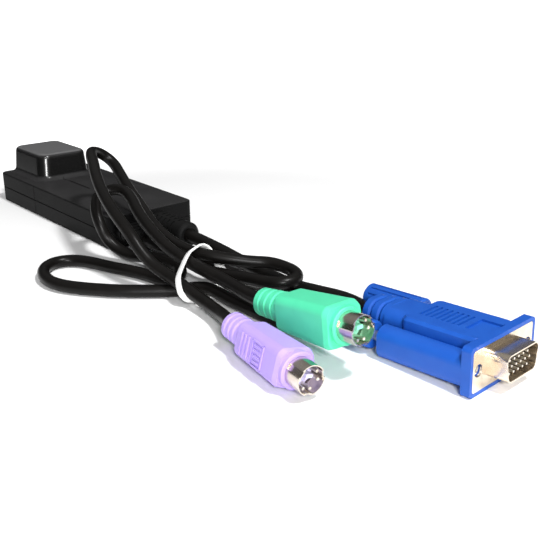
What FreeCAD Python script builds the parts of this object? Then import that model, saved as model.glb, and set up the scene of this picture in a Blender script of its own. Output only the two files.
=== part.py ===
import FreeCAD, Part
import math
import os

from FreeCAD import Placement, Rotation, Vector

# A keyboard, video and mouse dongle: a flat two-shell box with a raised network socket at one end,
# and three tied cords at the other, to a video plug and two round six-pin plugs.
# Millimetres. The origin is at the middle of the box's underside, +X runs towards the cords, +Z is up.

# Box
box_length = 106
box_width = 42
box_height = 14.2
parting_height = 7.2
plan_radius = 3
edge_radius = 0.8
wall = 1.8
lip_height = 1.2
lip_width = 1
seam_x = -16.1
seam_size = 0.35
parting_bevel = 0.3

# Raised housing over the network socket
raised_top = 26.6
raised_start = 2.4
raised_length = 31.2
raised_width = 24.4
raised_shift = -1.6
raised_taper = 1.1
raised_corner = 5
crown_radius = 2.2
flare_radius = 2.4

# Network socket and the board that carries it
socket_width = 15.9
socket_height = 13.3
socket_length = 16
socket_set_back = 1
jack_width = 11.7
jack_height = 6.8
jack_depth = 13
latch_width = 6.3
latch_height = 1.6
contact_count = 8
contact_pitch = 1.02
contact_width = 0.45
board_top = 9.2
board_thickness = 1.6
board_end_gap = 6.5
board_side_gap = 0.6
fit_gap = 0.15
chip_sizes = [(14, 14, 1.6), (8, 10, 1.6)]
chip_places = [(7, 1), (28, 1)]
transformer_size = (9, 13, 6)
transformer_gap = 1

# Screws that hold the shells, driven from below
screw_inset_x = 10
screw_inset_y = 5.6
screw_radius = 1.25
screw_head_radius = 2.3
screw_head_height = 1.7
boss_radius = 3
screw_recess = 1.2

# Cords
thin_cord_radius = 2.3
video_cord_radius = 2.7
cord_sides = 12

# Strain reliefs
relief_height = 7.1
video_relief_radius = 5.3
video_relief_length = 22.4
twin_relief_width = 14
twin_relief_height = 8.6
twin_relief_length = 16
relief_neck = 1
relief_collar = 1.6
relief_slot_size = 0.9
relief_slot_first = 2.4
relief_slot_rings = 5
relief_slot_pitch = 3
relief_slot_rows = [(-52, 28), (-14, 28), (24, 28), (62, 50), (128, 50), (182, 50), (248, 50)]
twin_groove_first = 3
twin_groove_pitch = 3.2
twin_grooves = 4
twin_groove_depth = 0.8

# Round six-pin plugs
ring_radius = 4.5
ring_sheet = 0.35
ring_reach = 6
ring_seat = 5
ring_notch = 0.5
ring_notch_width = 1.8
pin_radius = 0.5
pin_circle = 3.1
pin_set_back = 1.2
insulator_set_back = 5.2
key_width = 2.2
key_height = 1.1
round_plugs = {
    "green": {"relief": 13, "relief_end": 9, "body": 22, "front": (14, 13), "rear": (12.6, 11.6)},
    "purple": {"relief": 10, "relief_end": 8.8, "body": 21, "front": (12.4, 11.6), "rear": (11.2, 10.6)},
}
body_corner = 2.8
body_bevel = 1.5
collar_length = 1.5
collar_radius = 5.7
shoulder_length = 1
shoulder_inset = 0.7
relief_rings = 4
ring_groove = 0.8

# Video plug
flange_width = 32.7
flange_height = 14.9
flange_thickness = 3
flange_corner = 1.5
flange_rim = 1.2
plate_thickness = 0.8
shell_width = 16.9
shell_height = 8.4
shell_sheet = 0.4
shell_reach = 6
shell_slant = 10
shell_corner = 2
hood_width = 19.4
hood_height = 12.8
hood_lift = 0.8
hood_length = 26
hood_corner = 2.5
hood_edge = 0.9
barrel_spacing = 25
barrel_outside = 3.6
barrel_low = -5.9
barrel_high = 4.3
barrel_length = 29.5
neck_width = 16
neck_height = 12
neck_length = 7.5
video_relief_sizes = [(14.6, 12.2), (13.4, 11.8), (12, 11.4)]
video_relief_ring = 3
video_relief_groove = 0.5
slot_count = 8
slot_pitch = 1.86
slot_width = 0.9
slot_reach = 8.6
slot_depth = 0.7
panel_length = 7.5
panel_width = 8.7
pin_rows = 3
pins_in_row = 5
video_pin_pitch = 2.29
video_pin_row = 1.98
video_pin_radius = 0.38
thumb_radius = 4.4
thumb_length = 23
thumb_gap = 3.5
thumb_ribs = 12
thumb_groove = 0.5
thumb_shaft_radius = 1.5
thumb_clearance = 0.4

# Cable tie round the bundle
tie_x = 121
tie_tilt = 42
tie_width = 2.2
tie_thickness = 0.9
tie_gap = 0.4
tie_far_side = -10.5
tie_step = 0.4
tie_corner_spacing = 0.9
tie_head = 3.8
tie_head_rise = 0.15
tie_tail = 3

green_route = [
    (69, -8, 7.1), (78, -6.8, 6.6), (88, -5.6, 5.2), (98, -4.9, 3.7), (109, -4, 2.8),
    (120, -3.2, 2.6), (132, -2.6, 2.6), (143, -2.2, 2.6), (151.6, -2.4, 2.6), (158.4, -5.4, 2.6),
    (161.2, -12, 2.6), (157.4, -18.2, 2.6), (150, -19.8, 2.6), (142.9, -19.6, 2.7),
    (135, -20.8, 3.2), (127.5, -21.6, 4.2), (122, -22, 4.6), (117.6, -24, 4.2), (111.8, -29.2, 2.6),
    (106.2, -36.2, 2.6), (99.2, -44.2, 2.6), (87, -54.2, 2.6), (78, -58.6, 2.6), (69, -58.4, 2.6),
    (61, -54.8, 2.6), (56.8, -48.4, 2.6), (59, -41.4, 2.6), (66, -37.2, 2.6), (75.5, -34.4, 2.6),
    (83, -31.2, 2.6), (91, -28.6, 2.6), (98, -27.6, 2.7), (103.2, -25.2, 3.1), (103.9, -20.8, 4.2),
    (98.6, -18.2, 5.1), (89.6, -18.9, 6), (80, -21.6, 4.8), (70.8, -24.4, 4), (64, -28, 8.6),
    (61.6, -29.6, 15), (57.2, -28.8, 20), (52.4, -25.4, 23.6), (51.8, -19.4, 25.8),
    (57.6, -15.8, 26.2), (66, -17.2, 24.6), (74.5, -20.2, 21.8), (84, -21.8, 18.2),
    (94, -22.2, 14.4), (103.5, -22.4, 12.2), (111, -22.3, 11.5), (120, -22.2, 10.8),
    (130, -21, 9.7), (139.2, -21.8, 9.3), (146.5, -23.1, 9.7), (153.5, -23.6, 10.2),
]
purple_route = [
    (69, -14, 7.1), (78, -13.8, 7), (88, -13.4, 6.6), (100, -13.6, 6.2), (112.5, -14.2, 6),
    (121.4, -12.6, 7), (131, -10.9, 8), (138.6, -10.6, 9), (144.6, -8.2, 9.6), (146, -2.8, 9.9),
    (141.8, 1.8, 9.8), (134.8, 3.8, 9.5), (127.4, 2, 10), (122.5, -3.6, 10.2), (117, -9.8, 11.4),
    (109.3, -16, 12.6), (101, -15.6, 11.6), (89.5, -15.4, 12.2), (78, -14.8, 15), (66, -12.6, 19.4),
    (52, -9.8, 24), (41, -7.2, 28), (34.2, -6, 31.6), (30.8, -9.6, 35.6), (33.6, -15.8, 38),
    (41, -20.2, 37.8), (48.6, -23.4, 36.4), (56, -27, 34.4), (67, -31.2, 31), (80, -34.4, 26.4),
    (93, -34.8, 20), (98, -34.2, 15), (103.5, -32.6, 10.6), (110, -31, 8.3), (116.4, -30.2, 6.9),
    (122.5, -29.8, 5.4), (131, -30.2, 4.4), (140, -31.6, 4.3), (148, -34.4, 5.4),
    (155.5, -37.8, 6.95),
]
video_route = [
    (75, 3.2, 7.1), (84, 3.4, 6.6), (94, 4.8, 5.2), (104, 5.8, 3.6), (115, 5.6, 2.9),
    (126, 4.8, 2.9), (137, 4.4, 2.9), (147, 7, 3), (156.5, 9.6, 3.1), (165, 8, 3.9),
    (171, 4.8, 4.8), (175.7, 3.7, 5.3),
]

# How each plug lies at the end of its cord: yaw, pitch up, and roll of its near side up
plug_turns = {"green": (-3, 8, 0), "purple": (-8, -0.55, 14), "video": (2.04, 2.86, 0)}

box_end = box_length / 2
box_side = box_width / 2
roof = box_height - wall


def block(low, high):
    span = Vector(*high) - Vector(*low)
    return Part.makeBox(span.x, span.y, span.z, Vector(*low))


def pin(radius, x0, x1, y, z):
    turns = [math.pi / 8 + math.pi / 4 * step for step in range(8)]
    ring = [Vector(x0, y + radius * math.cos(turn), z + radius * math.sin(turn)) for turn in turns]
    return Part.Face(Part.makePolygon(ring + ring[:1])).extrude(Vector(x1 - x0, 0, 0))


# Places the points of an outline: a section that stands across X, or a plan at one height
def across(x, y=0, z=0):
    return lambda a, b: Vector(x, y + a, z + b)


def level(z, x=0, y=0):
    return lambda a, b: Vector(x + a, y + b, z)


def rounded(width, height, radius, at):
    corners = []
    for quarter, (side, top) in enumerate([(1, 1), (-1, 1), (-1, -1), (1, -1)]):
        a = side * (width / 2 - radius)
        b = top * (height / 2 - radius)
        turns = [math.radians(90 * quarter + step) for step in (0, 45, 90)]
        corners.append([at(a + radius * math.cos(t), b + radius * math.sin(t)) for t in turns])
    edges = []
    for here, after in zip(corners, corners[1:] + corners[:1]):
        edges.append(Part.Arc(*here).toShape())
        if (after[0] - here[2]).Length > 1e-6:
            edges.append(Part.LineSegment(here[2], after[0]).toShape())
    return Part.Wire(edges)


def bar(width, height, radius, x0, x1, y=0, z=0):
    face = Part.Face(rounded(width, height, radius, across(x0, y, z)))
    return face.extrude(Vector(x1 - x0, 0, 0))


def slab(length, width, radius, z0, z1, x=0, y=0):
    face = Part.Face(rounded(length, width, radius, level(z0, x, y)))
    return face.extrude(Vector(0, 0, z1 - z0))


def loft(sections):
    return Part.makeLoft(sections, True, True)


def rod(radius, x0, x1, y=0, z=0):
    return Part.makeCylinder(radius, x1 - x0, Vector(x0, y, z), Vector(1, 0, 0))


def post(radius, z0, z1, x, y):
    return Part.makeCylinder(radius, z1 - z0, Vector(x, y, z0))


# A solid of revolution about the X axis, from its half outline of (x, radius)
def turned(outline, y=0, z=0):
    points = [Vector(x, y, z + radius) for x, radius in outline]
    face = Part.Face(Part.makePolygon(points + points[:1]))
    return face.revolve(Vector(0, y, z), Vector(1, 0, 0), 360)


def level_edges(shape, z, inside):
    found = []
    for edge in shape.Edges:
        bounds = edge.BoundBox
        if abs(bounds.ZMin - z) < 1e-4 and abs(bounds.ZMax - z) < 1e-4 and inside(edge.CenterOfMass):
            found.append(edge)
    return found


screw_places = [
    (x * (box_end - screw_inset_x), y * (box_side - screw_inset_y)) for x in (-1, 1) for y in (-1, 1)
]
relief_y = {"video": video_route[0][1], "twin": (green_route[0][1] + purple_route[0][1]) / 2}


# What the two strain reliefs need free in the end wall: their necks, and room for their inner collars
def relief_room(gap):
    video = rod(video_relief_radius - relief_neck + gap, box_end - wall - 1, box_end + 1,
                relief_y["video"], relief_height)
    twin = bar(twin_relief_width - 2 * relief_neck + 2 * gap, twin_relief_height - 2 * relief_neck + 2 * gap,
               twin_relief_height / 2 - relief_neck + gap, box_end - wall - 1, box_end + 1,
               relief_y["twin"], relief_height)
    return video.fuse(twin)


def seam(z0, z1):
    cuts = []
    for side in (-1, 1):
        y = side * box_side
        low = (seam_x - seam_size / 2, y - seam_size, z0)
        cuts.append(block(low, (seam_x + seam_size / 2, y + seam_size, z1)))
    return cuts


# Slits and a shallow ledge in the roof: x and y ranges, and depth
roof_cuts = [
    ((-34, -14), (-4.2, -3.85), 0.35),
    ((-14, 6), (-4.2, -3.1), 0.25),
    ((-22, -21.6), (18.1, 20.2), 0.35),
    ((-12.2, -11.8), (14.6, 18.1), 0.35),
    ((5.9, 15.5), (17.8, 18.2), 0.35),
    ((41, 51), (-9.2, -8.8), 0.35),
]


def upper_cover():
    shell = slab(box_length, box_width, plan_radius, parting_height, box_height)
    rim = level_edges(shell, box_height, lambda point: True)
    shell = shell.makeFillet(edge_radius, rim)
    shell = shell.makeChamfer(parting_bevel, level_edges(shell, parting_height, lambda point: True))
    x = raised_start + raised_length / 2 - box_end - raised_taper
    foot = rounded(raised_length + 2 * raised_taper, raised_width + 2 * raised_taper, raised_corner,
                   level(roof, x, raised_shift))
    head = rounded(raised_length, raised_width, raised_corner, level(raised_top, x, raised_shift))
    raised = loft([foot, head])
    shell = shell.fuse(raised).removeSplitter()
    crown = level_edges(shell, raised_top, lambda point: True)
    shell = shell.makeFillet(crown_radius, crown)
    near_raised = raised_length / 2 + 2 * raised_taper
    flare = level_edges(shell, box_height, lambda point: abs(point.x - x) < near_raised
                        and abs(point.y - raised_shift) < raised_width / 2 + 2 * raised_taper)
    shell = shell.makeFillet(flare_radius, flare)
    hollow = slab(box_length - 2 * wall, box_width - 2 * wall, plan_radius - wall / 2, parting_height, roof)
    foot = rounded(raised_length - wall, raised_width - wall, raised_corner - wall,
                   level(roof - 0.1, x, raised_shift))
    head = rounded(raised_length - 2 * wall, raised_width - 2 * wall, raised_corner - wall,
                   level(raised_top - wall, x, raised_shift))
    shell = shell.cut(hollow.fuse(loft([foot, head])))
    bosses = [post(boss_radius, board_top, roof + 0.1, x, y) for x, y in screw_places]
    shell = shell.fuse(bosses)
    cuts = [post(screw_radius, board_top, roof + 0.3, x, y) for x, y in screw_places]
    cuts.append(socket_room())
    cuts.append(relief_room(fit_gap))
    cuts += seam(parting_height, box_height + 1)
    for (x0, x1), (y0, y1), depth in roof_cuts:
        cuts.append(block((x0, y0, box_height - depth), (x1, y1, box_height + 1)))
    return shell.cut(cuts).removeSplitter()


def lower_cover():
    shell = slab(box_length, box_width, plan_radius, 0, parting_height)
    foot = level_edges(shell, 0, lambda point: True)
    shell = shell.makeFillet(edge_radius, foot)
    shell = shell.makeChamfer(parting_bevel, level_edges(shell, parting_height, lambda point: True))
    hollow = slab(box_length - 2 * wall, box_width - 2 * wall, plan_radius - wall / 2, wall, parting_height)
    outside = wall + fit_gap
    inside = outside + lip_width
    lip = slab(box_length - 2 * outside, box_width - 2 * outside, plan_radius - wall / 2,
               parting_height - wall, parting_height + lip_height)
    lip = lip.cut(slab(box_length - 2 * inside, box_width - 2 * inside, plan_radius - wall / 2,
                       parting_height - wall, parting_height + lip_height))
    root = slab(box_length - 2 * wall, box_width - 2 * wall, plan_radius - wall / 2,
                parting_height - wall, parting_height)
    root = root.cut(slab(box_length - 2 * inside, box_width - 2 * inside, plan_radius - wall / 2,
                         parting_height - wall, parting_height))
    lip = lip.fuse(root)
    cords_end = block((box_end - wall - board_end_gap / 2, -box_side, 0), (box_end, box_side, box_height))
    lip = lip.cut(cords_end)
    shell = shell.cut(hollow).fuse(lip)
    board_bottom = board_top - board_thickness
    shell = shell.fuse([post(boss_radius, wall - 0.1, board_bottom, x, y) for x, y in screw_places])
    cuts = [relief_room(fit_gap)]
    for x, y in screw_places:
        cuts.append(post(screw_radius + fit_gap, 0, board_bottom, x, y))
        cuts.append(post(screw_head_radius + fit_gap, -1, screw_recess + screw_head_height, x, y))
    cuts += seam(-1, parting_height)
    return shell.cut(cuts).removeSplitter()


def cover_screws():
    screws = []
    for x, y in screw_places:
        seat = screw_recess + screw_head_height
        screw = post(screw_head_radius, screw_recess, seat, x, y)
        screw = screw.fuse(post(screw_radius - fit_gap, seat, roof, x, y))
        for turn in (0, 90):
            arm = block((-screw_head_radius * 0.6, -0.25, screw_recess - 1),
                        (screw_head_radius * 0.6, 0.25, screw_recess + 0.8))
            arm.Placement = Placement(Vector(x, y, 0), Rotation(turn, 0, 0))
            screw = screw.cut(arm)
        screws.append(screw)
    return Part.Compound(screws)


socket_front = -box_end + socket_set_back
socket_back = socket_front + socket_length


def socket_room():
    return block((-box_end - 1, raised_shift - socket_width / 2 - fit_gap, board_top - fit_gap),
                 (socket_front + wall * 2, raised_shift + socket_width / 2 + fit_gap,
                  board_top + socket_height + fit_gap))


jack_floor = board_top + (socket_height - jack_height - latch_height) / 2 + latch_height


# The jack: the plug's pocket, and the latch's slot below it
def network_socket():
    body = block((socket_front, raised_shift - socket_width / 2, board_top),
                 (socket_back, raised_shift + socket_width / 2, board_top + socket_height))
    pocket = block((socket_front - 1, raised_shift - jack_width / 2, jack_floor),
                   (socket_front + jack_depth, raised_shift + jack_width / 2, jack_floor + jack_height))
    latch = block((socket_front - 1, raised_shift - latch_width / 2, jack_floor - latch_height),
                  (socket_front + jack_depth, raised_shift + latch_width / 2, jack_floor))
    return body.cut(pocket.fuse(latch))


# Spring contacts that hang from the pocket's roof and slope back into it
def network_contacts():
    top = jack_floor + jack_height
    thickness = contact_width
    start = socket_front + 2
    end = socket_front + jack_depth
    drop = 2
    side = [(start, top), (end, top), (end, top - drop), (end - thickness, top - drop),
            (start, top - thickness)]
    contacts = []
    for index in range(contact_count):
        y = raised_shift + (index - (contact_count - 1) / 2) * contact_pitch - contact_width / 2
        points = [Vector(x, y, z) for x, z in side]
        face = Part.Face(Part.makePolygon(points + points[:1]))
        contacts.append(face.extrude(Vector(0, contact_width, 0)))
    return Part.Compound(contacts)


def circuit_board():
    gap = wall + fit_gap + lip_width + board_side_gap
    board = block((-box_end + gap, -box_side + gap, board_top - board_thickness),
                  (box_end - board_end_gap, box_side - gap, board_top))
    return board.cut([post(screw_radius + fit_gap, 0, box_height, x, y) for x, y in screw_places])


# Two flat chips on the board, and the line transformer behind the network socket
def board_chips():
    chips = []
    for (length, width, height), (x, y) in zip(chip_sizes, chip_places):
        low = (x - length / 2, y - width / 2, board_top)
        chips.append(block(low, (x + length / 2, y + width / 2, board_top + height)))
    return Part.Compound(chips)


def line_transformer():
    length, width, height = transformer_size
    start = socket_back + transformer_gap
    low = (start, raised_shift - width / 2, board_top)
    return block(low, (start + length, raised_shift + width / 2, board_top + height))


# Short slots round the relief, in rows along it, each row half a pitch off its neighbours
def relief_slots(y, z, radius):
    slots = []
    for row, (start, sweep) in enumerate(relief_slot_rows):
        for index in range(relief_slot_rings):
            x = box_end + relief_slot_first + (index + 0.5 * (row % 2)) * relief_slot_pitch
            ring = Part.makeCylinder(radius + 1, relief_slot_size, Vector(x, y, z), Vector(1, 0, 0), sweep)
            ring = ring.cut(rod(radius - relief_slot_size, x - 1, x + 2, y, z))
            ring.rotate(Vector(x, y, z), Vector(1, 0, 0), start)
            slots.append(ring)
    return slots


# The round relief ends in a shallow cup that its cord leaves from
def video_relief():
    radius = video_relief_radius
    neck = radius - relief_neck
    inner = box_end - wall - fit_gap
    end = box_end + video_relief_length
    cord_start = video_route[0][0]
    outline = [(inner - relief_collar, 0), (inner - relief_collar, radius - 0.6), (inner, radius - 0.6),
               (inner, neck), (box_end, neck), (box_end, radius), (end - 1.2, radius), (end - 0.4, radius - 0.4),
               (end, radius - 1.2), (end, video_cord_radius + 0.5), (cord_start, video_cord_radius + 0.5),
               (cord_start, 0)]
    relief = turned(outline, relief_y["video"], relief_height)
    return relief.cut(relief_slots(relief_y["video"], relief_height, radius))


def twin_relief():
    y = relief_y["twin"]
    width = twin_relief_width
    height = twin_relief_height
    inner = box_end - wall - fit_gap
    neck = bar(width - 2 * relief_neck, height - 2 * relief_neck, height / 2 - relief_neck,
               inner - relief_collar, box_end + 1, y, relief_height)
    collar = bar(width - 1, height, height / 2, inner - relief_collar, inner, y, relief_height)
    outside = bar(width, height, height / 2, box_end, box_end + twin_relief_length, y, relief_height)
    grooves = []
    deep = 2 * twin_groove_depth
    for index in range(twin_grooves):
        x = box_end + twin_groove_first + index * twin_groove_pitch
        end = x + relief_slot_size
        ring = bar(width + 2, height + 2, height / 2 + 1, x, end, y, relief_height)
        grooves.append(ring.cut(bar(width - deep, height - deep, (height - deep) / 2, x, end, y, relief_height)))
    return outside.cut(grooves).fuse([neck, collar]).removeSplitter()


# A cord's tube: straight runs joined by the largest tangent arcs that the shorter run allows.
# Its section has flat sides, which keeps the long tubes light.
def cord_path(route):
    points = [Vector(*point) for point in route]
    edges = []
    radii = []
    start = points[0]
    for before, corner, after in zip(points, points[1:], points[2:]):
        arriving = (corner - before).normalize()
        leaving = (after - corner).normalize()
        reach = 0.45 * min((corner - before).Length, (after - corner).Length)
        turn = arriving.getAngle(leaving)
        bend = reach / math.tan(turn / 2)
        middle = leaving - arriving
        middle.normalize()
        inward = math.hypot(bend, reach) - bend
        first = corner - arriving * reach
        last = corner + leaving * reach
        edges.append(Part.LineSegment(start, first).toShape())
        edges.append(Part.Arc(first, corner + middle * inward, last).toShape())
        radii.append(bend)
        start = last
    edges.append(Part.LineSegment(start, points[-1]).toShape())
    return Part.Wire(edges), sorted(radii)


def cord(name, route, radius):
    path, radii = cord_path(route)
    start = Vector(*route[0])
    forward = (Vector(*route[1]) - start).normalize()
    side = forward.cross(Vector(0, 0, 1)).normalize()
    up = side.cross(forward)
    ring = []
    for index in range(cord_sides):
        angle = 2 * math.pi * (index + 0.5) / cord_sides
        ring.append(start + side * (radius * math.cos(angle)) + up * (radius * math.sin(angle)))
    section = Part.Face(Part.makePolygon(ring + ring[:1]))
    tube = path.makePipeShell([section.OuterWire], True, False)
    expected = section.Area * path.Length
    print(name, "length", round(path.Length, 1), "tightest bends", [round(r, 1) for r in radii[:4]],
          "volume ratio", round(tube.Volume / expected, 4))
    return tube


def plug_place(name, route):
    yaw, pitch, roll = plug_turns[name]
    return Placement(Vector(*route[-1]), Rotation(yaw, -pitch, -roll))


# A round plug stands along X from the end of its cord, at x = 0, to its mouth
def round_plug_stations(plug):
    body = plug["relief"] + shoulder_length
    bevel = body + plug["body"]
    collar = bevel + body_bevel
    ring = collar + collar_length
    return body, bevel, collar, ring, ring + ring_reach


def overmould(plug):
    body, bevel, collar, ring, mouth = round_plug_stations(plug)
    front_width, front_height = plug["front"]
    rear_width, rear_height = plug["rear"]
    inset = 2 * shoulder_inset
    sections = [
        rounded(rear_width - inset, rear_height - inset, body_corner - shoulder_inset, across(plug["relief"])),
        rounded(rear_width, rear_height, body_corner, across(body)),
        rounded(front_width, front_height, body_corner, across(bevel)),
        rounded(front_width - 1, front_height - 1, body_corner, across(collar)),
    ]
    case = loft(sections)
    nose = turned([(collar - 1, 0), (collar - 1, collar_radius), (ring - 0.3, collar_radius),
                   (ring, collar_radius - 0.3), (ring, 0)])
    pitch = plug["relief"] / relief_rings
    end = plug["relief_end"] / 2
    start = rear_height / 2 - shoulder_inset
    outline = [(0, 0)]
    for index in range(relief_rings):
        x = index * pitch
        radius = end + (start - end) * (index + 0.5) / relief_rings
        outline += [(x, radius - ring_groove), (x + ring_groove / 2, radius), (x + pitch - ring_groove, radius),
                    (x + pitch - ring_groove / 2, radius - ring_groove)]
    outline += [(plug["relief"] + 0.5, start - ring_groove), (plug["relief"] + 0.5, 0)]
    case = case.fuse([nose, turned(outline)])
    seat = rod(ring_radius + 0.05, ring - ring_seat, mouth)
    return case.cut(seat).removeSplitter()


# The shell of a round plug: a tube with three long notches that guide it into its socket
def notches(radius, width, x0, x1):
    cuts = []
    for angle in (180, 65, -65):
        notch = block((x0, -width / 2, radius), (x1, width / 2, ring_radius + 1))
        notch.rotate(Vector(), Vector(1, 0, 0), angle)
        cuts.append(notch)
    return cuts


def plug_ring(plug):
    body, bevel, collar, ring, mouth = round_plug_stations(plug)
    back = ring - ring_seat
    outside = rod(ring_radius, back, mouth)
    outside = outside.cut(notches(ring_radius - ring_notch, ring_notch_width, ring, mouth))
    inside = rod(ring_radius - ring_sheet, back, mouth)
    inside = inside.cut(notches(ring_radius - ring_notch - ring_sheet, ring_notch_width + 2 * ring_sheet,
                                ring - ring_sheet, mouth))
    return outside.cut(inside)


def plug_insulator(plug):
    body, bevel, collar, ring, mouth = round_plug_stations(plug)
    inside = ring_radius - ring_notch - ring_sheet - 0.05
    disc = rod(inside, ring - ring_seat, mouth - insulator_set_back)
    key = block((mouth - insulator_set_back, -key_width / 2, 0.2),
                (mouth - pin_set_back, key_width / 2, 0.2 + key_height))
    return disc.fuse(key)


def plug_pins(plug):
    body, bevel, collar, ring, mouth = round_plug_stations(plug)
    pins = []
    for angle in (22.5, 87, 135):
        for side in (-1, 1):
            turn = math.radians(side * angle)
            y = pin_circle * math.sin(turn)
            z = -pin_circle * math.cos(turn)
            pins.append(pin(pin_radius, mouth - insulator_set_back, mouth - pin_set_back, y, z))
    return Part.Compound(pins)


# The video plug stands along X from the end of its cord to its flange and shell
relief_step = video_relief_ring + 2 * video_relief_groove
neck_start = relief_step * len(video_relief_sizes) - 1.5
hood_start = neck_start + neck_length
flange_back = hood_start + hood_length
flange_front = flange_back + flange_thickness
plate_back = flange_front - plate_thickness
barrel_back = flange_back - barrel_length
thumb_front = barrel_back - thumb_gap
shell_seat = 7
video_face = flange_front + 0.6


# A D outline: a rounded trapezium, its wide side up
def d_wire(width, height, radius, x):
    lean = height * math.tan(math.radians(shell_slant))
    corners = [Vector(x, side * (width / 2 - low * lean), height / 2 - low * height)
               for side, low in ((-1, 0), (1, 0), (1, 1), (-1, 1))]
    face = Part.Face(Part.makePolygon(corners + corners[:1]))
    prism = face.extrude(Vector(1, 0, 0))
    upright = [edge for edge in prism.Edges if edge.BoundBox.XLength > 0.5]
    prism = prism.makeFillet(radius, upright)
    ends = [side for side in prism.Faces if abs(side.CenterOfMass.x - x) < 1e-4]
    return ends[0].OuterWire


def d_prism(width, height, radius, x0, x1):
    return Part.Face(d_wire(width, height, radius, x0)).extrude(Vector(x1 - x0, 0, 0))


def thumb_sides():
    return [-barrel_spacing / 2, barrel_spacing / 2]


def video_hood():
    flange = bar(flange_width, flange_height, flange_corner, flange_back, flange_front)
    top = hood_lift + hood_height / 2
    bottom = top - hood_height
    hood = slab(hood_length + 1, hood_width, hood_corner, bottom, top, hood_start + hood_length / 2 + 0.5)
    edges = [edge for z in (bottom, top) for edge in level_edges(hood, z, lambda point: True)]
    hood = hood.makeChamfer(hood_edge, edges)
    pieces = [hood]
    barrel_height = barrel_high - barrel_low
    for y in thumb_sides():
        pieces.append(bar(2 * barrel_outside, barrel_height, barrel_outside - 0.1, barrel_back, flange_back + 1,
                          y, (barrel_high + barrel_low) / 2))
        web = abs(y) - hood_width / 2 + 1
        pieces.append(block((hood_start, min(y, y - math.copysign(web, y)), barrel_low + 1.4),
                            (flange_back, max(y, y - math.copysign(web, y)), barrel_high - 1.4)))
    pieces.append(bar(neck_width, neck_height, neck_height / 2 - 2, neck_start, hood_start + 3, 0, hood_lift))
    core_width, core_height = video_relief_sizes[-1]
    pieces.append(bar(core_width - 2, core_height - 2, core_height / 2 - 2, 0, neck_start + 1, 0, hood_lift))
    for index, (width, height) in enumerate(reversed(video_relief_sizes)):
        x = index * relief_step
        corner = height / 2 - 1.5
        edge = video_relief_groove
        sections = []
        for along, inset in ((0, 1), (edge, 0), (video_relief_ring - edge, 0), (video_relief_ring, 1)):
            sections.append(rounded(width - inset, height - inset, corner, across(x + along, 0, hood_lift)))
        pieces.append(loft(sections))
    hood = flange.fuse(pieces)
    room = bar(flange_width - 2 * flange_rim, flange_height - 2 * flange_rim, flange_corner - 0.5,
               plate_back, flange_front + 1)
    cuts = [room, d_prism(shell_width + 0.1, shell_height + 0.1, shell_corner, flange_front - shell_seat,
                          flange_front)]
    for y in thumb_sides():
        cuts.append(rod(thumb_shaft_radius + thumb_clearance, barrel_back - 1, flange_front, y))
    start = hood_start + 3
    for index in range(slot_count):
        x = start + index * slot_pitch
        cuts.append(block((x, -slot_reach / 2, top - slot_depth), (x + slot_width, slot_reach / 2, top + 1)))
    panel = start + slot_count * slot_pitch + 1
    cuts.append(block((panel, -panel_width / 2, top - slot_depth),
                      (panel + panel_length, panel_width / 2, top + 1)))
    return hood.cut(cuts).removeSplitter()


# Face plate and shell, one pressing
def video_shell():
    plate = bar(flange_width - 2 * flange_rim - 0.1, flange_height - 2 * flange_rim - 0.1, flange_corner - 0.5,
                plate_back, flange_front)
    sleeve = d_prism(shell_width, shell_height, shell_corner, flange_front - shell_seat,
                     flange_front + shell_reach)
    hollow = d_prism(shell_width - 2 * shell_sheet, shell_height - 2 * shell_sheet, shell_corner - shell_sheet,
                     flange_front - shell_seat, flange_front + shell_reach)
    bore = thumb_shaft_radius + thumb_clearance
    holes = [rod(bore, plate_back - 1, flange_front + 1, y) for y in thumb_sides()]
    return plate.fuse(sleeve).cut([hollow] + holes).removeSplitter()


def video_pins():
    pins = []
    for row in range(pin_rows):
        z = (row - (pin_rows - 1) / 2) * video_pin_row
        offset = video_pin_pitch / 4 * (1 if row % 2 else -1)
        for index in range(pins_in_row):
            y = (index - (pins_in_row - 1) / 2) * video_pin_pitch + offset
            pins.append(pin(video_pin_radius, video_face, flange_front + shell_reach - 1, y, z))
    return Part.Compound(pins)


def video_insulator():
    gap = 2 * shell_sheet + 0.1
    return d_prism(shell_width - gap, shell_height - gap, shell_corner - shell_sheet,
                   flange_front - shell_seat, video_face)


# A captive thumbscrew, drawn back: a ribbed knob on a steel screw
def thumb_knob(y):
    back = thumb_front - thumb_length
    knob = turned([(back, 0), (back, thumb_radius - 0.6), (back + 0.6, thumb_radius),
                   (thumb_front - 0.6, thumb_radius), (thumb_front, thumb_radius - 0.6), (thumb_front, 0)], y)
    grooves = []
    for index in range(thumb_ribs):
        turn = 2 * math.pi * index / thumb_ribs
        across_groove = y + thumb_radius * math.cos(turn)
        grooves.append(pin(thumb_groove, back + 2, thumb_front - 2, across_groove, thumb_radius * math.sin(turn)))
    shaft = rod(thumb_shaft_radius, thumb_front - 4, thumb_front, y)
    return knob.cut(grooves + [shaft])


def thumb_screw(y):
    return rod(thumb_shaft_radius, thumb_front - 4, flange_front - 1, y)


# The tie's plane leans back from the box
tie_turn = Rotation(Vector(0, 1, 0), -tie_tilt)


# Where the strands' skins pass through the tie, seen along X
def tie_crossings():
    normal = tie_turn.multVec(Vector(1, 0, 0))
    found = []
    for path in (green_path, purple_path):
        points = path.discretize(Distance=tie_step)
        for here, after in zip(points, points[1:]):
            if here.y > tie_far_side:
                continue
            side = (after - here).cross(Vector(0, 0, 1)).normalize()
            up = side.cross(after - here).normalize()
            for step in range(2 * cord_sides):
                turn = math.pi * step / cord_sides
                skin = here + (side * math.cos(turn) + up * math.sin(turn)) * thin_cord_radius
                ahead = (skin - Vector(tie_x, 0, 0)).dot(normal)
                if abs(ahead) < tie_width / 2 + tie_step:
                    found.append((skin.y, skin.z))
    return found


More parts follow.
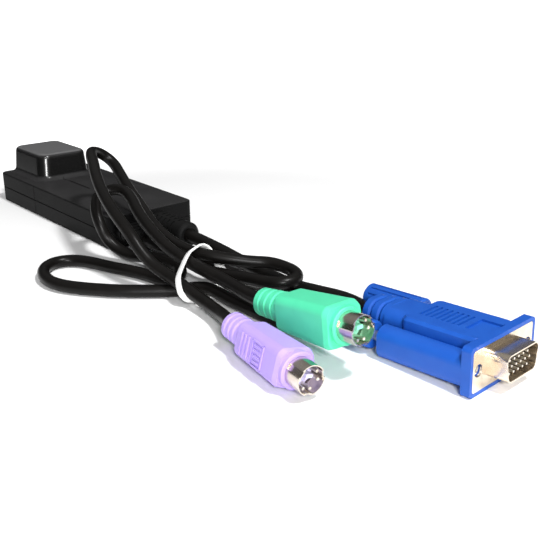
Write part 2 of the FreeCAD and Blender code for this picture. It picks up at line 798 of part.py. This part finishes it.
def hull(points):
    chain = []
    for sweep in (sorted(points), sorted(points, reverse=True)):
        side = []
        for point in sweep:
            while len(side) > 1 and ((side[-1][0] - side[-2][0]) * (point[1] - side[-2][1])
                                     - (side[-1][1] - side[-2][1]) * (point[0] - side[-2][0])) <= 0:
                side.pop()
            side.append(point)
        chain += side[:-1]
    thinned = [chain[0]]
    for point in chain[1:]:
        if min(math.dist(point, thinned[-1]), math.dist(point, chain[0])) > tie_corner_spacing:
            thinned.append(point)
    return thinned


# The hull moved outwards, its corners mitred, as a bar along X
def band(corners, distance, x0, x1):
    points = []
    for index in range(len(corners)):
        here = Vector(x0, *corners[index])
        before = Vector(x0, *corners[index - 1])
        after = Vector(x0, *corners[(index + 1) % len(corners)])
        arriving = (here - before).normalize()
        leaving = (after - here).normalize()
        outward = Vector(0, arriving.z + leaving.z, -arriving.y - leaving.y).normalize()
        half_turn = arriving.getAngle(leaving) / 2
        points.append(here + outward * (distance / math.cos(half_turn)))
    face = Part.Face(Part.makePolygon(points + points[:1]))
    return face.extrude(Vector(x1 - x0, 0, 0))


def white_tie():
    corners = hull(tie_crossings())
    outer = band(corners, tie_gap + tie_thickness, 0, tie_x + tie_width)
    inner = band(corners, tie_gap, -1, tie_x + tie_width + 1)
    half = tie_width / 2
    leaning = block((-half, -tie_x, -tie_x), (half, tie_x, tie_x))
    leaning.Placement = Placement(Vector(tie_x, 0, 0), tie_turn)
    strap = outer.cut(inner).common(leaning)
    far = max(corners)
    beside = [corner for corner in corners if corner[0] > far[0] - tie_width / 2]
    low = min(beside, key=lambda corner: corner[1])
    middle = Vector(0, *low) * (1 - tie_head_rise) + Vector(0, *far) * tie_head_rise
    head = block((-tie_head / 2, 0, -tie_head / 2), (tie_head / 2, tie_head * 0.75, tie_head / 2))
    tail = block((-half, tie_head / 4, -tie_head / 2 - tie_tail), (half, tie_head / 4 + tie_thickness, 0))
    lock = head.fuse(tail)
    lock.Placement = Placement(Vector(), tie_turn)
    back = middle.z * math.tan(math.radians(tie_tilt))
    lock.translate(middle + Vector(tie_x - back, tie_gap + tie_thickness / 2, 0))
    return strap.fuse(lock).removeSplitter()


def placed(shape, place):
    shape = shape.copy()
    shape.Placement = place.multiply(shape.Placement)
    return shape


green_path = cord_path(green_route)[0]
purple_path = cord_path(purple_route)[0]

parts = {
    "upper_cover": upper_cover(),
    "lower_cover": lower_cover(),
    "cover_screws": cover_screws(),
    "network_socket": network_socket(),
    "network_contacts": network_contacts(),
    "circuit_board": circuit_board(),
    "board_chips": board_chips(),
    "line_transformer": line_transformer(),
    "video_relief": video_relief(),
    "twin_relief": twin_relief(),
    "green_cord": cord("green", green_route, thin_cord_radius),
    "purple_cord": cord("purple", purple_route, thin_cord_radius),
    "video_cord": cord("video", video_route, video_cord_radius),
    "white_tie": white_tie(),
}

for name, route in (("green", green_route), ("purple", purple_route)):
    place = plug_place(name, route)
    plug = round_plugs[name]
    parts[name + "_overmould"] = placed(overmould(plug), place)
    parts[name + "_ring"] = placed(plug_ring(plug), place)
    parts[name + "_insulator"] = placed(plug_insulator(plug), place)
    parts[name + "_pins"] = placed(plug_pins(plug), place)

place = plug_place("video", video_route)
parts["video_hood"] = placed(video_hood(), place)
parts["video_shell"] = placed(video_shell(), place)
parts["video_insulator"] = placed(video_insulator(), place)
parts["video_pins"] = placed(video_pins(), place)
for side, y in zip(("near", "far"), thumb_sides()):
    parts["thumb_knob_" + side] = placed(thumb_knob(y), place)
    parts["thumb_screw_" + side] = placed(thumb_screw(y), place)

os.makedirs("parts", exist_ok=True)
for name, shape in parts.items():
    shape.exportStep("parts/" + name + ".step")
    bounds = shape.BoundBox
    print(name, len(shape.Solids), "valid" if shape.isValid() else "INVALID", "z from", round(bounds.ZMin, 2))
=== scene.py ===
import bmesh
import bpy
import math
from mathutils import Matrix, Vector


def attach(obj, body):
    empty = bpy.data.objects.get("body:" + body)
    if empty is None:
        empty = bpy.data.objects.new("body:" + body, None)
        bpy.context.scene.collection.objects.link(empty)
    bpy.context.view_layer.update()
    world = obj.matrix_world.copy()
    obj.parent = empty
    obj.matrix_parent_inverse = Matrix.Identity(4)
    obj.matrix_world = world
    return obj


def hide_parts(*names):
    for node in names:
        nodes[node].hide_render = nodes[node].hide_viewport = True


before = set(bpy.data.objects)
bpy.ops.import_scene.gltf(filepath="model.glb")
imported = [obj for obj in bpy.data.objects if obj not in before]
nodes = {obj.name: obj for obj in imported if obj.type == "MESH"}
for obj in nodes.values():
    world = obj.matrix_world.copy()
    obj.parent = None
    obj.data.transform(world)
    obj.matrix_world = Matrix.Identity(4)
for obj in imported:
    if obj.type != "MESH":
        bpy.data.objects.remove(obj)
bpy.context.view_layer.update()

# The view: where the camera stands, which way it looks, and its lens on a film this many millimetres wide
view = {"place": (0.32917, -0.17383, 0.10841), "look": (-0.7058, 0.6137, -0.3540), "lens": 52.64, "film": 36,
        "nearest": 0.01}


def addObject(name, data):
    made = bpy.data.objects.new(name, data)
    bpy.context.scene.collection.objects.link(made)
    return made


def makeCamera():
    camera = addObject("camera", bpy.data.cameras.new("camera"))
    camera.data.lens = view["lens"]
    camera.data.sensor_width = view["film"]
    camera.data.clip_start = view["nearest"]
    camera.location = view["place"]
    camera.rotation_euler = Vector(view["look"]).to_track_quat("-Z", "Y").to_euler()
    bpy.context.scene.camera = camera


# Cords: control points in metres, from strain relief to plug, and the pieces that each cord carries
cords = {
    "green": {
        "diameter": 0.0046, "relief": "twin_relief",
        "carries": ["green_overmould", "green_ring", "green_insulator", "green_pins", "tieBand"],
        "route": [
            (0.069, -0.008, 0.0071), (0.078, -0.0068, 0.0066), (0.088, -0.0056, 0.0052), (0.098, -0.0049, 0.0037),
            (0.109, -0.004, 0.0028), (0.12, -0.0032, 0.0026), (0.132, -0.0026, 0.0026), (0.143, -0.0022, 0.0026),
            (0.1516, -0.0024, 0.0026), (0.1584, -0.0054, 0.0026), (0.1612, -0.012, 0.0026),
            (0.1574, -0.0182, 0.0026), (0.15, -0.0198, 0.0026), (0.1429, -0.0196, 0.0027), (0.135, -0.0208, 0.0032),
            (0.1275, -0.0216, 0.0042), (0.122, -0.022, 0.0046), (0.1176, -0.024, 0.0042), (0.1118, -0.0292, 0.0026),
            (0.1062, -0.0362, 0.0026), (0.0992, -0.0442, 0.0026), (0.087, -0.0542, 0.0026),
            (0.078, -0.0586, 0.0026), (0.069, -0.0584, 0.0026), (0.061, -0.0548, 0.0026), (0.0568, -0.0484, 0.0026),
            (0.059, -0.0414, 0.0026), (0.066, -0.0372, 0.0026), (0.0755, -0.0344, 0.0026), (0.083, -0.0312, 0.0026),
            (0.091, -0.0286, 0.0026), (0.098, -0.0276, 0.0027), (0.1032, -0.0252, 0.0031),
            (0.1039, -0.0208, 0.0042), (0.0986, -0.0182, 0.0051), (0.0896, -0.0189, 0.006), (0.08, -0.0216, 0.0048),
            (0.0708, -0.0244, 0.004), (0.064, -0.028, 0.0086), (0.0616, -0.0296, 0.015), (0.0572, -0.0288, 0.02),
            (0.0524, -0.0254, 0.0236), (0.0518, -0.0194, 0.0258), (0.0576, -0.0158, 0.0262),
            (0.066, -0.0172, 0.0246), (0.0745, -0.0202, 0.0218), (0.084, -0.0218, 0.0182), (0.094, -0.0222, 0.0144),
            (0.1035, -0.0224, 0.0122), (0.111, -0.0223, 0.0115), (0.12, -0.0222, 0.0108), (0.13, -0.021, 0.0097),
            (0.1392, -0.0218, 0.0093), (0.1465, -0.0231, 0.0097), (0.1535, -0.0236, 0.0102),
        ],
    },
    "purple": {
        "diameter": 0.0046, "relief": "twin_relief",
        "carries": ["purple_overmould", "purple_ring", "purple_insulator", "purple_pins", "tieBand"],
        "route": [
            (0.069, -0.014, 0.0071), (0.078, -0.0138, 0.007), (0.088, -0.0134, 0.0066), (0.1, -0.0136, 0.0062),
            (0.1125, -0.0142, 0.006), (0.1214, -0.0126, 0.007), (0.131, -0.0109, 0.008), (0.1386, -0.0106, 0.009),
            (0.1446, -0.0082, 0.0096), (0.146, -0.0028, 0.0099), (0.1418, 0.0018, 0.0098), (0.1348, 0.0038, 0.0095),
            (0.1274, 0.002, 0.01), (0.1225, -0.0036, 0.0102), (0.117, -0.0098, 0.0114), (0.1093, -0.016, 0.0126),
            (0.101, -0.0156, 0.0116), (0.0895, -0.0154, 0.0122), (0.078, -0.0148, 0.015), (0.066, -0.0126, 0.0194),
            (0.052, -0.0098, 0.024), (0.041, -0.0072, 0.028), (0.0342, -0.006, 0.0316), (0.0308, -0.0096, 0.0356),
            (0.0336, -0.0158, 0.038), (0.041, -0.0202, 0.0378), (0.0486, -0.0234, 0.0364), (0.056, -0.027, 0.0344),
            (0.067, -0.0312, 0.031), (0.08, -0.0344, 0.0264), (0.093, -0.0348, 0.02), (0.098, -0.0342, 0.015),
            (0.1035, -0.0326, 0.0106), (0.11, -0.031, 0.0083), (0.1164, -0.0302, 0.0069), (0.1225, -0.0298, 0.0054),
            (0.131, -0.0302, 0.0044), (0.14, -0.0316, 0.0043), (0.148, -0.0344, 0.0054), (0.1555, -0.0378, 0.00695),
        ],
    },
    "video": {
        "diameter": 0.0054, "relief": "video_relief",
        "carries": ["video_hood", "video_shell", "video_insulator", "video_pins", "thumb_knob_near",
                    "thumb_screw_near", "thumb_knob_far", "thumb_screw_far"],
        "route": [
            (0.075, 0.0032, 0.0071), (0.084, 0.0034, 0.0066), (0.094, 0.0048, 0.0052), (0.104, 0.0058, 0.0036),
            (0.115, 0.0056, 0.0029), (0.126, 0.0048, 0.0029), (0.137, 0.0044, 0.0029), (0.147, 0.007, 0.003),
            (0.1565, 0.0096, 0.0031), (0.165, 0.008, 0.0039), (0.171, 0.0048, 0.0048), (0.1757, 0.0037, 0.0053),
        ],
    },
}


# How finely a route becomes a tube: steps between control points, quarter-round steps, and the spline's order
tube = {"steps": 8, "round": 6, "order": 3}


# A route's line where depth is 0, and its tube where it isn't
def routeShape(route, depth):
    route.data.bevel_depth = depth
    bpy.context.view_layer.update()
    return bpy.data.meshes.new_from_object(route.evaluated_get(bpy.context.evaluated_depsgraph_get()))


def makeRoute(name, points):
    curve = bpy.data.curves.new(name, "CURVE")
    curve.dimensions = "3D"
    curve.resolution_u = tube["steps"]
    curve.bevel_resolution = tube["round"]
    curve.use_fill_caps = True
    spline = curve.splines.new("NURBS")
    spline.points.add(len(points) - 1)
    for point, place in zip(spline.points, points):
        point.co = (*place, 1)
    spline.order_u = tube["order"]
    spline.use_endpoint_u = True
    return addObject(name, curve)


def makeCord(name, cord):
    route = makeRoute(name + "Route", cord["route"])
    line = [corner.co.copy() for corner in routeShape(route, 0).vertices]
    mesh = routeShape(route, cord["diameter"] / 2)
    bpy.data.objects.remove(route)
    for face in mesh.polygons:
        face.use_smooth = True
    piece = addObject(name + "Cord", mesh)
    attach(piece, "dongle")
    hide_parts(name + "_cord")


# How the purple plug lies at the end of its cord, and how far its body reaches to each side, in metres from there
purplePlug = {"yaw": -8, "pitch": -0.55, "roll": 14, "bodyStart": 0.011, "bodyLength": 0.021, "rearHalf": 0.0056,
              "frontHalf": 0.0062}
# The raised marks of its near side: ribs across the body, then a small panel with rows of keys over a bar
plugMarks = {
    "ribs": {"count": 3, "first": 0.0136, "pitch": 0.0019, "wide": 0.0007, "high": 0.0066, "raised": 0.0005},
    "panel": {"start": 0.0198, "end": 0.0258, "low": -0.0038, "high": 0.0036, "line": 0.0004, "raised": 0.0004},
    "keys": {"rows": 3, "inRow": 5, "wide": 0.0005, "tall": 0.0009, "raised": 0.0004, "top": 0.0027, "pitch": 0.0016},
    "bar": {"wide": 0.0030, "tall": 0.0008},
    "sunk": 0.0002,
}


def plugMatrix(place, turn):
    spin = Matrix.Rotation(math.radians(turn["yaw"]), 4, "Z") @ Matrix.Rotation(math.radians(-turn["pitch"]), 4, "Y")
    return Matrix.Translation(place) @ spin @ Matrix.Rotation(math.radians(-turn["roll"]), 4, "X")


# Each mark is a box: its range along the plug, its range up the side, and how far it stands out
def markBoxes():
    ribs, panel, keys, bar = (plugMarks[part] for part in ("ribs", "panel", "keys", "bar"))
    boxes = []
    for index in range(ribs["count"]):
        x = ribs["first"] + index * ribs["pitch"]
        boxes.append((x, x + ribs["wide"], -ribs["high"] / 2, ribs["high"] / 2, ribs["raised"]))
    start, end, low, high, line = (panel[part] for part in ("start", "end", "low", "high", "line"))
    for box in ((start, end, high - line, high), (start, end, low, low + line), (start, start + line, low, high),
                (end - line, end, low, high)):
        boxes.append((*box, panel["raised"]))
    step = (end - start - 4 * line) / keys["inRow"]
    for row in range(keys["rows"]):
        z = keys["top"] - row * keys["pitch"]
        for index in range(keys["inRow"]):
            x = start + 2 * line + (index + 0.5) * step - keys["wide"] / 2
            boxes.append((x, x + keys["wide"], z - keys["tall"], z, keys["raised"]))
    middle = (start + end) / 2
    z = keys["top"] - keys["rows"] * keys["pitch"]
    boxes.append((middle - bar["wide"] / 2, middle + bar["wide"] / 2, z - bar["tall"], z, keys["raised"]))
    return boxes


def makeMarks():
    corners = []
    faces = []
    widening = (purplePlug["frontHalf"] - purplePlug["rearHalf"]) / purplePlug["bodyLength"]
    for x0, x1, z0, z1, raised in markBoxes():
        base = len(corners)
        for x in (x0, x1):
            side = purplePlug["rearHalf"] + widening * (x - purplePlug["bodyStart"])
            for y in (raised, -plugMarks["sunk"]):
                corners += [(x, -side - y, z0), (x, -side - y, z1)]
        faces += [[base + corner for corner in face]
                  for face in ((0, 1, 5, 4), (0, 2, 3, 1), (4, 5, 7, 6), (1, 3, 7, 5), (0, 4, 6, 2))]
    mesh = bpy.data.meshes.new("purplePlugMarks")
    mesh.from_pydata(corners, [], faces)
    mesh.transform(plugMatrix(cords["purple"]["route"][-1], purplePlug))
    piece = addObject("purplePlugMarks", mesh)
    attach(piece, "dongle")


# The tie: a nylon band round the bundle. Its plane leans back and turns towards the plugs, the outline gives y and z
# in it, and its lock and tail sit on the far side, at one of the outline's corners
tie = {"place": 0.115, "lean": 0.75, "turn": 0.3, "width": 0.0023, "thickness": 0.0009, "steps": 6, "edge": 0.25,
       "outline": [(-0.0330, 0.0063), (-0.0326, 0.0044), (-0.0308, 0.0026), (-0.0275, 0.0018), (-0.0223, 0.0016),
                   (-0.0170, 0.0025), (-0.0128, 0.0036), (-0.0110, 0.0056), (-0.0107, 0.0085), (-0.0110, 0.0113),
                   (-0.0122, 0.0139), (-0.0150, 0.0153), (-0.0190, 0.0152), (-0.0226, 0.0145), (-0.0272, 0.0123),
                   (-0.0315, 0.0096)],
       "lockAt": 8, "lock": (0.0038, 0.0030, 0.0038), "tail": (0.0019, 0.0010, 0.0060), "tailDrop": 0.0035,
       "tailOut": 0.6, "rounding": 0.0003, "roundingSteps": 2}


# The outline's corners, and a smooth closed line through them
def tieLine():
    corners = [Vector((tie["place"] - tie["lean"] * z - tie["turn"] * y, y, z)) for y, z in tie["outline"]]
    line = []
    for index in range(len(corners)):
        a, b, c, d = (corners[(index + step) % len(corners)] for step in (-1, 0, 1, 2))
        for part in range(tie["steps"]):
            t = part / tie["steps"]
            bend = (2 * a - 5 * b + 4 * c - d) * t ** 2 + (3 * b - a - 3 * c + d) * t ** 3
            line.append(b + ((c - a) * t + bend) / 2)
    return corners, line


def addBand(mesh, line, normal):
    half = tie["width"] / 2
    thick = tie["thickness"] / 2
    inner = 1 - tie["edge"]
    profile = [(-half, -thick * inner), (-half * inner, -thick), (half * inner, -thick), (half, -thick * inner),
               (half, thick * inner), (half * inner, thick), (-half * inner, thick), (-half, thick * inner)]
    rings = []
    for index, point in enumerate(line):
        along = (line[(index + 1) % len(line)] - line[index - 1]).normalized()
        outward = normal.cross(along)
        rings.append([mesh.verts.new(point + normal * a + outward * b) for a, b in profile])
    for here, after in zip(rings, rings[1:] + rings[:1]):
        for side in range(len(profile)):
            following = (side + 1) % len(profile)
            mesh.faces.new((here[side], here[following], after[following], after[side]))


def addLock(mesh, place, normal):
    up = (Vector((0, 0, 1)) - normal * normal.z).normalized()
    outward = up.cross(normal)
    basis = Matrix((normal, outward, up)).transposed().to_4x4()
    for size, shift in ((tie["lock"], outward * (tie["lock"][1] / 2)),
                        (tie["tail"], outward * tie["lock"][1] * tie["tailOut"] - up * tie["tailDrop"])):
        block = bmesh.ops.create_cube(mesh, size=1)["verts"]
        turned = Matrix.Translation(place + shift) @ basis @ Matrix.Diagonal((*size, 1))
        bmesh.ops.transform(mesh, matrix=turned, verts=block)
        edges = list({edge for corner in block for edge in corner.link_edges})
        bmesh.ops.bevel(mesh, geom=edges, offset=tie["rounding"], segments=tie["roundingSteps"], affect="EDGES")


def makeTie():
    normal = Vector((1, tie["turn"], tie["lean"])).normalized()
    corners, line = tieLine()
    mesh = bmesh.new()
    addBand(mesh, line, normal)
    addLock(mesh, corners[tie["lockAt"]], normal)
    bmesh.ops.recalc_face_normals(mesh, faces=mesh.faces)
    data = bpy.data.meshes.new("tieBand")
    mesh.to_mesh(data)
    mesh.free()
    for face in data.polygons:
        face.use_smooth = True
    piece = addObject("tieBand", data)
    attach(piece, "dongle")
    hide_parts("white_tie")


makeCamera()
makeTie()
for name, cord in cords.items():
    makeCord(name, cord)
print("camera, tie and cords made")

makeMarks()
print("plug marks made")


# A shader socket that takes part in sums
class Value:
    def __init__(self, surface, socket):
        self.surface = surface
        self.socket = socket

    def maths(self, operation, a, b):
        return self.surface.node("Math", {"operation": operation}, {0: a, 1: b})

    def __add__(self, other):
        return self.maths("ADD", self, other)

    __radd__ = __add__

    def __sub__(self, other):
        return self.maths("SUBTRACT", self, other)

    def __rsub__(self, other):
        return self.maths("SUBTRACT", other, self)

    def __mul__(self, other):
        return self.maths("MULTIPLY", self, other)

    def __pow__(self, other):
        return self.maths("POWER", self, other)

    def clip(self, low, high):
        return self.maths("MINIMUM", self.maths("MAXIMUM", self, low), high)

    # 0 under low, 1 over high, smooth between
    def ramp(self, low, high):
        return self.surface.node("MapRange", {"interpolation_type": "SMOOTHSTEP"},
                                 {"Value": self, "From Min": low, "From Max": high})


# The nodes of a material or world: they come from one method, and varying values feed the main shader
class Surface:
    def __init__(self, owner, fixed, shader="Principled BSDF"):
        owner.use_nodes = True
        self.tree = owner.node_tree
        self.shader = self.tree.nodes[shader]
        for socket, value in fixed.items():
            self.shader.inputs[socket].default_value = value

    def node(self, kind, settings=None, inputs=None, output=0):
        made = self.tree.nodes.new("ShaderNode" + kind)
        for name, value in (settings or {}).items():
            setattr(made, name, value)
        for name, value in (inputs or {}).items():
            self.feed(made.inputs[name], value)
        return Value(self, made.outputs[output])

    def feed(self, socket, value):
        if isinstance(value, Value):
            self.tree.links.new(value.socket, socket)
        else:
            socket.default_value = value

    def set(self, socket, value):
        self.feed(self.shader.inputs[socket], value)

    def finish(self, shader):
        self.feed(self.tree.nodes["Material Output"].inputs["Surface"], shader)

    def main(self):
        return Value(self, self.shader.outputs[0])

    def place(self):
        return self.node("TexCoord", output="Object")

    def height(self, place):
        return self.node("SeparateXYZ", None, {0: place}, "Z")

    def noise(self, scale, detail, roughness=0.5):
        return self.node("TexNoise", None, {"Vector": self.place(), "Scale": scale, "Detail": detail,
                                            "Roughness": roughness})

    def mix(self, factor, a, b):
        return self.node("Mix", {"data_type": "RGBA"}, {"Factor": factor, 6: a, 7: b}, 2)

    def bump(self, height, strength, distance):
        self.normal = self.node("Bump", None, {"Height": height, "Strength": strength, "Distance": distance})
        self.set("Normal", self.normal)

    # A second finish where the factor is 1, with the same bumps
    def partly(self, factor, finish):
        other = self.node("BsdfPrincipled", None, {**finish, "Normal": self.normal})
        self.finish(self.node("MixShader", None, {0: factor, 1: self.main(), 2: other}))


def dress(names, material):
    for name in names:
        piece = nodes[name] if name in nodes else bpy.data.objects[name]
        piece.data.materials.clear()
        piece.data.materials.append(material)


# Box: spark-textured charcoal plastic; its low sides get painted shade: less speckle, darker than its top. The raised
# housing's sides are polished, and shaded as though they leaned back more, and its crown is lighter
cover = {"dark": (0.003, 0.003, 0.0031, 1), "light": (0.052, 0.051, 0.052, 1), "flatFrom": 0.0138, "flatOver": 0.0005,
         "shadedSideShare": 0.06, "specular": 0.1, "grain": (3200, 2, 0.6), "cloud": (60, 3), "grainShare": 0.5,
         "roughness": 0.52, "uneven": 0.08, "bumpHeight": 0.000025, "smoothed": 0.9,
         "polished": {"Base Color": (0.003, 0.003, 0.003, 1), "Roughness": 0.24, "Specular IOR Level": 0.6},
         "lean": 0.2, "raisedFrom": 0.0148, "raisedTo": 0.0250, "fadeIn": 0.002, "fadeOut": 0.0012,
         "crownFrom": 0.0259, "crownTo": 0.0264, "crownColour": (0.12, 0.12, 0.122, 1), "crownRoughness": 0.4}


def coverMaterial():
    material = bpy.data.materials.new("coverPlastic")
    surface = Surface(material, {"Specular IOR Level": cover["specular"]})
    grain = surface.noise(*cover["grain"])
    cloud = surface.noise(*cover["cloud"])
    z = surface.height(surface.place())
    crown = z.ramp(cover["crownFrom"], cover["crownTo"])
    speckle = grain * cover["grainShare"] + cloud * (1 - cover["grainShare"])
    # Painted shade: below the top face only a small share of the speckle's lightness is kept, so the low sides are
    # darker
    flat = z.ramp(cover["flatFrom"], cover["flatFrom"] + cover["flatOver"])
    unshadedShare = cover["shadedSideShare"] + flat * (1 - cover["shadedSideShare"])
    plain = surface.mix(speckle * unshadedShare, cover["dark"], cover["light"])
    polished = (z.ramp(cover["raisedFrom"], cover["raisedFrom"] + cover["fadeIn"])
                * (1 - z.ramp(cover["raisedTo"], cover["raisedTo"] + cover["fadeOut"])))
    surface.set("Base Color", surface.mix(crown, plain, cover["crownColour"]))
    rough = cover["roughness"] + cloud * cover["uneven"]
    surface.set("Roughness", rough - crown * (cover["roughness"] - cover["crownRoughness"]))
    raised = z.clip(cover["raisedFrom"], cover["raisedTo"])
    fine = grain * (1 - polished * cover["smoothed"]) * cover["bumpHeight"]
    surface.bump(fine - raised * cover["lean"], 1, 1)
    surface.partly(polished, cover["polished"])
    return material


# What a kind of finish shares: its blotches and how sharply they part, how far they change the roughness, and the
# scale, strength and depth of its grain
kinds = {
    "rubber": {"fixed": {"Specular IOR Level": 0.15}, "blotch": (140, 4), "parting": 2, "uneven": 0.14,
               "grain": (2600, 2), "strength": 0.12, "depth": 0.00005},
    "moulding": {"fixed": {"Specular IOR Level": 0.35}, "blotch": (220, 3), "parting": 1, "uneven": 0.1,
                 "grain": (3400, 2), "strength": 0.22, "depth": 0.00005},
    "metal": {"fixed": {"Metallic": 1}, "blotch": (260, 4), "parting": 2, "uneven": 0.12,
              "grain": (1500, 2), "strength": 0.08, "depth": 0.00004},
    "plastic": {"fixed": {"Specular IOR Level": 0.3}, "blotch": (420, 3), "parting": 1, "uneven": 0.08,
                "grain": (2800, 2), "strength": 0.1, "depth": 0.00004},
}
# Each finish runs from its low colour to its high one with the blotches
finishes = {
    "cordJacket": {
        "kind": "rubber", "low": (0.004, 0.0037, 0.0035, 1), "high": (0.008, 0.0068, 0.006, 1), "roughness": 0.27,
        "pieces": [name + "Cord" for name in cords]},
    "reliefRubber": {
        "kind": "rubber", "low": (0.004, 0.004, 0.004, 1), "high": (0.009, 0.009, 0.009, 1), "roughness": 0.45,
        "pieces": ["video_relief", "twin_relief"]},
    "greenMoulding": {
        "kind": "moulding", "low": (0.07, 0.60, 0.33, 1), "high": (0.095, 0.70, 0.40, 1), "roughness": 0.42,
        "pieces": ["green_overmould"]},
    "purpleMoulding": {
        "kind": "moulding", "low": (0.40, 0.29, 0.74, 1), "high": (0.46, 0.34, 0.80, 1), "roughness": 0.45,
        "pieces": ["purple_overmould", "purplePlugMarks"]},
    "blueMoulding": {
        "kind": "moulding", "low": (0.007, 0.068, 0.38, 1), "high": (0.010, 0.092, 0.44, 1), "roughness": 0.42,
        "pieces": ["video_hood", "thumb_knob_near", "thumb_knob_far"]},
    "nickelMetal": {
        "kind": "metal", "low": (0.74, 0.67, 0.59, 1), "high": (0.52, 0.45, 0.38, 1), "roughness": 0.15,
        "pieces": ["green_ring", "purple_ring"]},
    # Painted reflection: the video shell's darker brown blotches stand in for the brown surroundings that its plating
    # reflects
    "plateMetal": {
        "kind": "metal", "low": (0.92, 0.81, 0.67, 1), "high": (0.50, 0.41, 0.31, 1), "roughness": 0.19,
        "pieces": ["video_shell"]},
    "pinMetal": {
        "kind": "metal", "low": (0.95, 0.90, 0.80, 1), "high": (0.80, 0.72, 0.58, 1), "roughness": 0.3,
        "pieces": ["green_pins", "purple_pins", "video_pins", "network_contacts"]},
    "steelMetal": {
        "kind": "metal", "low": (0.42, 0.42, 0.43, 1), "high": (0.28, 0.28, 0.29, 1), "roughness": 0.32,
        "pieces": ["cover_screws", "thumb_screw_near", "thumb_screw_far"]},
    "tieNylon": {
        "kind": "plastic", "low": (0.78, 0.78, 0.77, 1), "high": (0.86, 0.86, 0.85, 1), "roughness": 0.35,
        "pieces": ["tieBand"]},
    "insulator": {
        "kind": "plastic", "low": (0.010, 0.006, 0.005, 1), "high": (0.020, 0.013, 0.010, 1), "roughness": 0.5,
        "pieces": ["video_insulator"]},
    # Painted light: the round plugs' insulators are painted lighter than their plugs' plastic, against the shade of
    # the recess inside each ring
    "greenInsulatorPaintedLight": {
        "kind": "plastic", "low": (0.24, 0.76, 0.52, 1), "high": (0.30, 0.86, 0.62, 1), "roughness": 0.3,
        "pieces": ["green_insulator"]},
    "purpleInsulatorPaintedLight": {
        "kind": "plastic", "low": (0.58, 0.55, 0.88, 1), "high": (0.66, 0.64, 0.95, 1), "roughness": 0.3,
        "pieces": ["purple_insulator"]},
    "socket": {
        "kind": "plastic", "low": (0.008, 0.008, 0.008, 1), "high": (0.012, 0.012, 0.012, 1), "roughness": 0.3,
        "pieces": ["network_socket"]},
    "board": {
        "kind": "plastic", "low": (0.012, 0.11, 0.05, 1), "high": (0.02, 0.16, 0.07, 1), "roughness": 0.35,
        "pieces": ["circuit_board"]},
    "chip": {
        "kind": "plastic", "low": (0.011, 0.011, 0.012, 1), "high": (0.016, 0.016, 0.017, 1), "roughness": 0.5,
        "pieces": ["board_chips", "line_transformer"]},
}


def makeMaterial(name, look):
    kind = kinds[look["kind"]]
    material = bpy.data.materials.new(name)
    surface = Surface(material, kind["fixed"])
    blotch = surface.noise(*kind["blotch"])
    surface.set("Base Color", surface.mix(blotch ** kind["parting"], look["low"], look["high"]))
    surface.set("Roughness", look["roughness"] + blotch * kind["uneven"])
    surface.bump(surface.noise(*kind["grain"]), kind["strength"], kind["depth"])
    return material


dress(["upper_cover", "lower_cover"], coverMaterial())
for name, look in finishes.items():
    dress(look["pieces"], makeMaterial(name, look))
print("materials made")


# Room: a pale floor that the camera and mirrors see glow white away from the object, lamps, and a world that is
# bright overhead
room = {
    "size": 6, "middle": (0.1, 0, 0), "floor": (0.92, 0.92, 0.92, 1), "roughness": 0.9, "near": 0.14, "far": 0.28,
    "inMirrors": 0.3, "low": 0.02, "high": 0.32, "skyFrom": 0.15, "skyTo": 0.8, "aim": (0.08, -0.01, 0.01),
    "lamps": {
        "key": {"place": (0.47, 0.0, 0.62), "size": 0.09, "power": 4.8},
        "flash": {"place": (0.60, -0.34, 0.30), "size": 0.09, "power": 3.0},
        "strip": {"place": (0.66, -0.60, 0.07), "size": 0.04, "height": 0.14, "power": 1.3},
    },
}
white = (1, 1, 1, 1)


def makeFloor():
    half = room["size"] / 2
    mesh = bpy.data.meshes.new("floor")
    mesh.from_pydata([(-half, -half, 0), (half, -half, 0), (half, half, 0), (-half, half, 0)], [], [(0, 1, 2, 3)])
    floor = addObject("floor", mesh)
    floor.location = room["middle"]
    material = bpy.data.materials.new("floorPaper")
    surface = Surface(material, {"Roughness": room["roughness"], "Base Color": room["floor"],
                                 "Specular IOR Level": 0})
    camera, glossy, clear = (surface.node("LightPath", output="Is " + ray + " Ray")
                             for ray in ("Camera", "Glossy", "Transmission"))
    seen = camera + (glossy + clear) * room["inMirrors"]
    distance = surface.node("VectorMath", {"operation": "LENGTH"}, {0: surface.place()}, 1)
    level = seen * distance.ramp(room["near"], room["far"])
    glow = surface.node("Emission", None, {"Color": white, "Strength": level})
    surface.finish(surface.node("AddShader", None, {0: surface.main(), 1: glow}))
    floor.data.materials.append(material)


def makeLamp(name, lamp):
    light = bpy.data.lights.new(name + "Lamp", "AREA")
    light.energy = lamp["power"]
    light.size = lamp["size"]
    if "height" in lamp:
        light.shape = "RECTANGLE"
        light.size_y = lamp["height"]
    piece = addObject(name + "Lamp", light)
    piece.location = lamp["place"]
    piece.rotation_euler = (Vector(room["aim"]) - piece.location).to_track_quat("-Z", "Y").to_euler()
    piece.visible_camera = False


# White behind everything for the camera; for the rest, dark at the horizon and bright overhead
def makeWorld():
    world = bpy.data.worlds.new("room")
    bpy.context.scene.world = world
    surface = Surface(world, {"Color": white}, "Background")
    up = surface.height(surface.node("TexCoord", output="Generated"))
    sky = up.ramp(room["skyFrom"], room["skyTo"]) * (room["high"] - room["low"]) + room["low"]
    surface.set("Strength", sky + surface.node("LightPath", output="Is Camera Ray") * (1 - sky))


makeFloor()
makeWorld()
for name, lamp in room["lamps"].items():
    makeLamp(name, lamp)
bpy.context.scene.view_settings.view_transform = "Standard"
print("room made")
